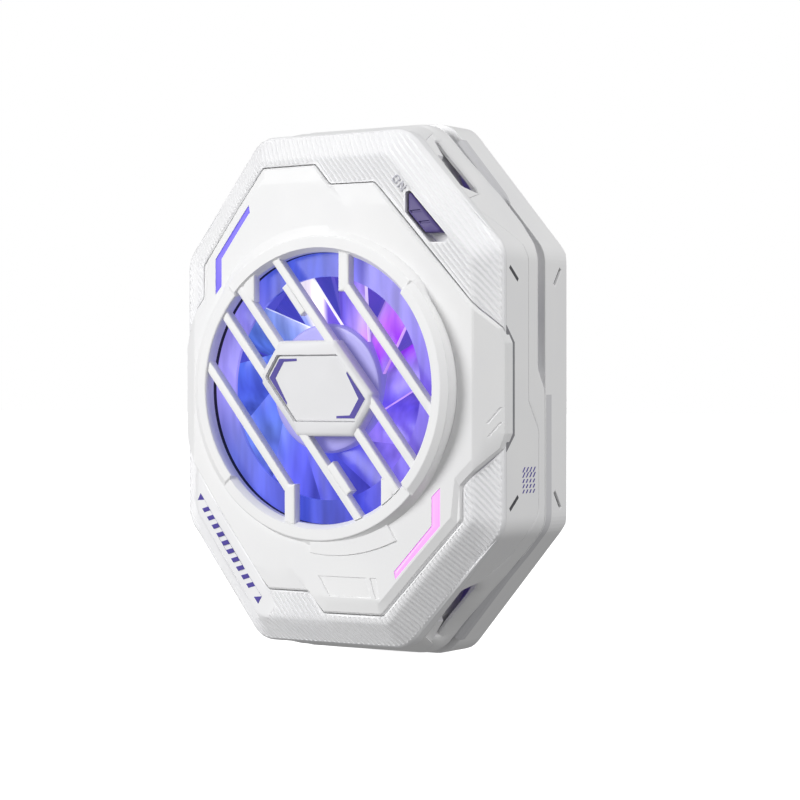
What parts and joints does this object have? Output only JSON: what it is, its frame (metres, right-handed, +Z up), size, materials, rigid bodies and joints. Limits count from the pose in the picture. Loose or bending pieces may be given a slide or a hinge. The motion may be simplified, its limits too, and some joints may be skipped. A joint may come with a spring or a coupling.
{
  "type": "phone cooling fan",
  "caption": "Octagonal magnetic cooling fan for the back of a phone, with a slanted intake grille, a lit rotor, corner vents and a slide switch.",
  "frame": {"origin": "middle of the footprint at the bottom edge that it stands on", "axes": "+X to the right seen from the air intake, +Y from the intake to the phone side, +Z up"},
  "size_m": [0.0568, 0.0264, 0.079],
  "materials": {
    "ribbed_white": "white moulded plastic with fine slanted ribs",
    "white_plastic": "satin white moulded plastic",
    "badge": "plain white plate",
    "strip_violet": "lit violet strip",
    "strip_pink": "lit pink strip",
    "light_guide": "clear lit band",
    "black_rubber": "black gasket",
    "grey_rubber": "dark grey gasket",
    "silicone": "soft grey silicone",
    "aluminium": "fine machined",
    "magnet": "nickel plated",
    "steel": "plain steel",
    "ferrite": "bonded magnet",
    "ceramic": "white ceramic",
    "pellet": "grey semiconductor",
    "thermal_pad": "soft blue grey pad",
    "foam": "closed cell foam",
    "fan_plastic": "translucent lit violet",
    "fan_frame": "white moulded plastic",
    "circuit_board": "green solder mask",
    "black_plastic": "black moulded",
    "led": "light emitting diode",
    "copper": "enamelled copper wire",
    "bronze": "sintered bronze",
    "nickel": "nickel plated steel",
    "knob_violet": "dark violet plastic"
  },
  "bodies": {
    "housing": {"front_frame": "ribbed_white", "front_cover": "white_plastic", "intake_grille": "white_plastic", "mid_housing": "white_plastic", "vent_ring": "white_plastic", "rear_shell": "white_plastic", "badge_plate": "badge", "light_strip_left": "strip_violet", "light_strip_right": "strip_pink", "light_guide_ring": "light_guide", "ring_gasket": "black_rubber", "seam_gasket": "grey_rubber", "contact_pad": "silicone", "cold_plate": "aluminium", "heat_sink": "aluminium", "magnets": "magnet", "magnet_yoke": "steel", "stator_core": "steel", "case_screws": "steel", "sink_screws": "steel", "fan_screws": "steel", "tec_cold_plate": "ceramic", "tec_hot_plate": "ceramic", "tec_pellets": "pellet", "thermal_pad": "thermal_pad", "foam_collar": "foam", "fan_frame": "fan_frame", "motor_board": "circuit_board", "led_board": "circuit_board", "main_board": "circuit_board", "board_chips": "black_plastic", "usb_tongue": "black_plastic", "switch_body": "black_plastic", "thermistor": "black_plastic", "leds": "led", "stator_coils": "copper", "bearing": "bronze", "usb_shell": "nickel"},
    "fan_rotor": {"impeller": "fan_plastic", "rotor_yoke": "steel", "rotor_magnet": "ferrite", "shaft": "steel"},
    "switch_slider": {"switch_knob": "knob_violet"}
  },
  "joints": [
    {"name": "fan_spin", "type": "hinge", "parent": "housing", "child": "fan_rotor", "pos_m": [0, 0, 0.0395], "axis": [0, -1, 0], "continuous": true},
    {"name": "switch_slide", "type": "slide", "parent": "housing", "child": "switch_slider", "axis": [0.6508, 0, -0.7593], "range_m": [0, 0.0015]}
  ]
}
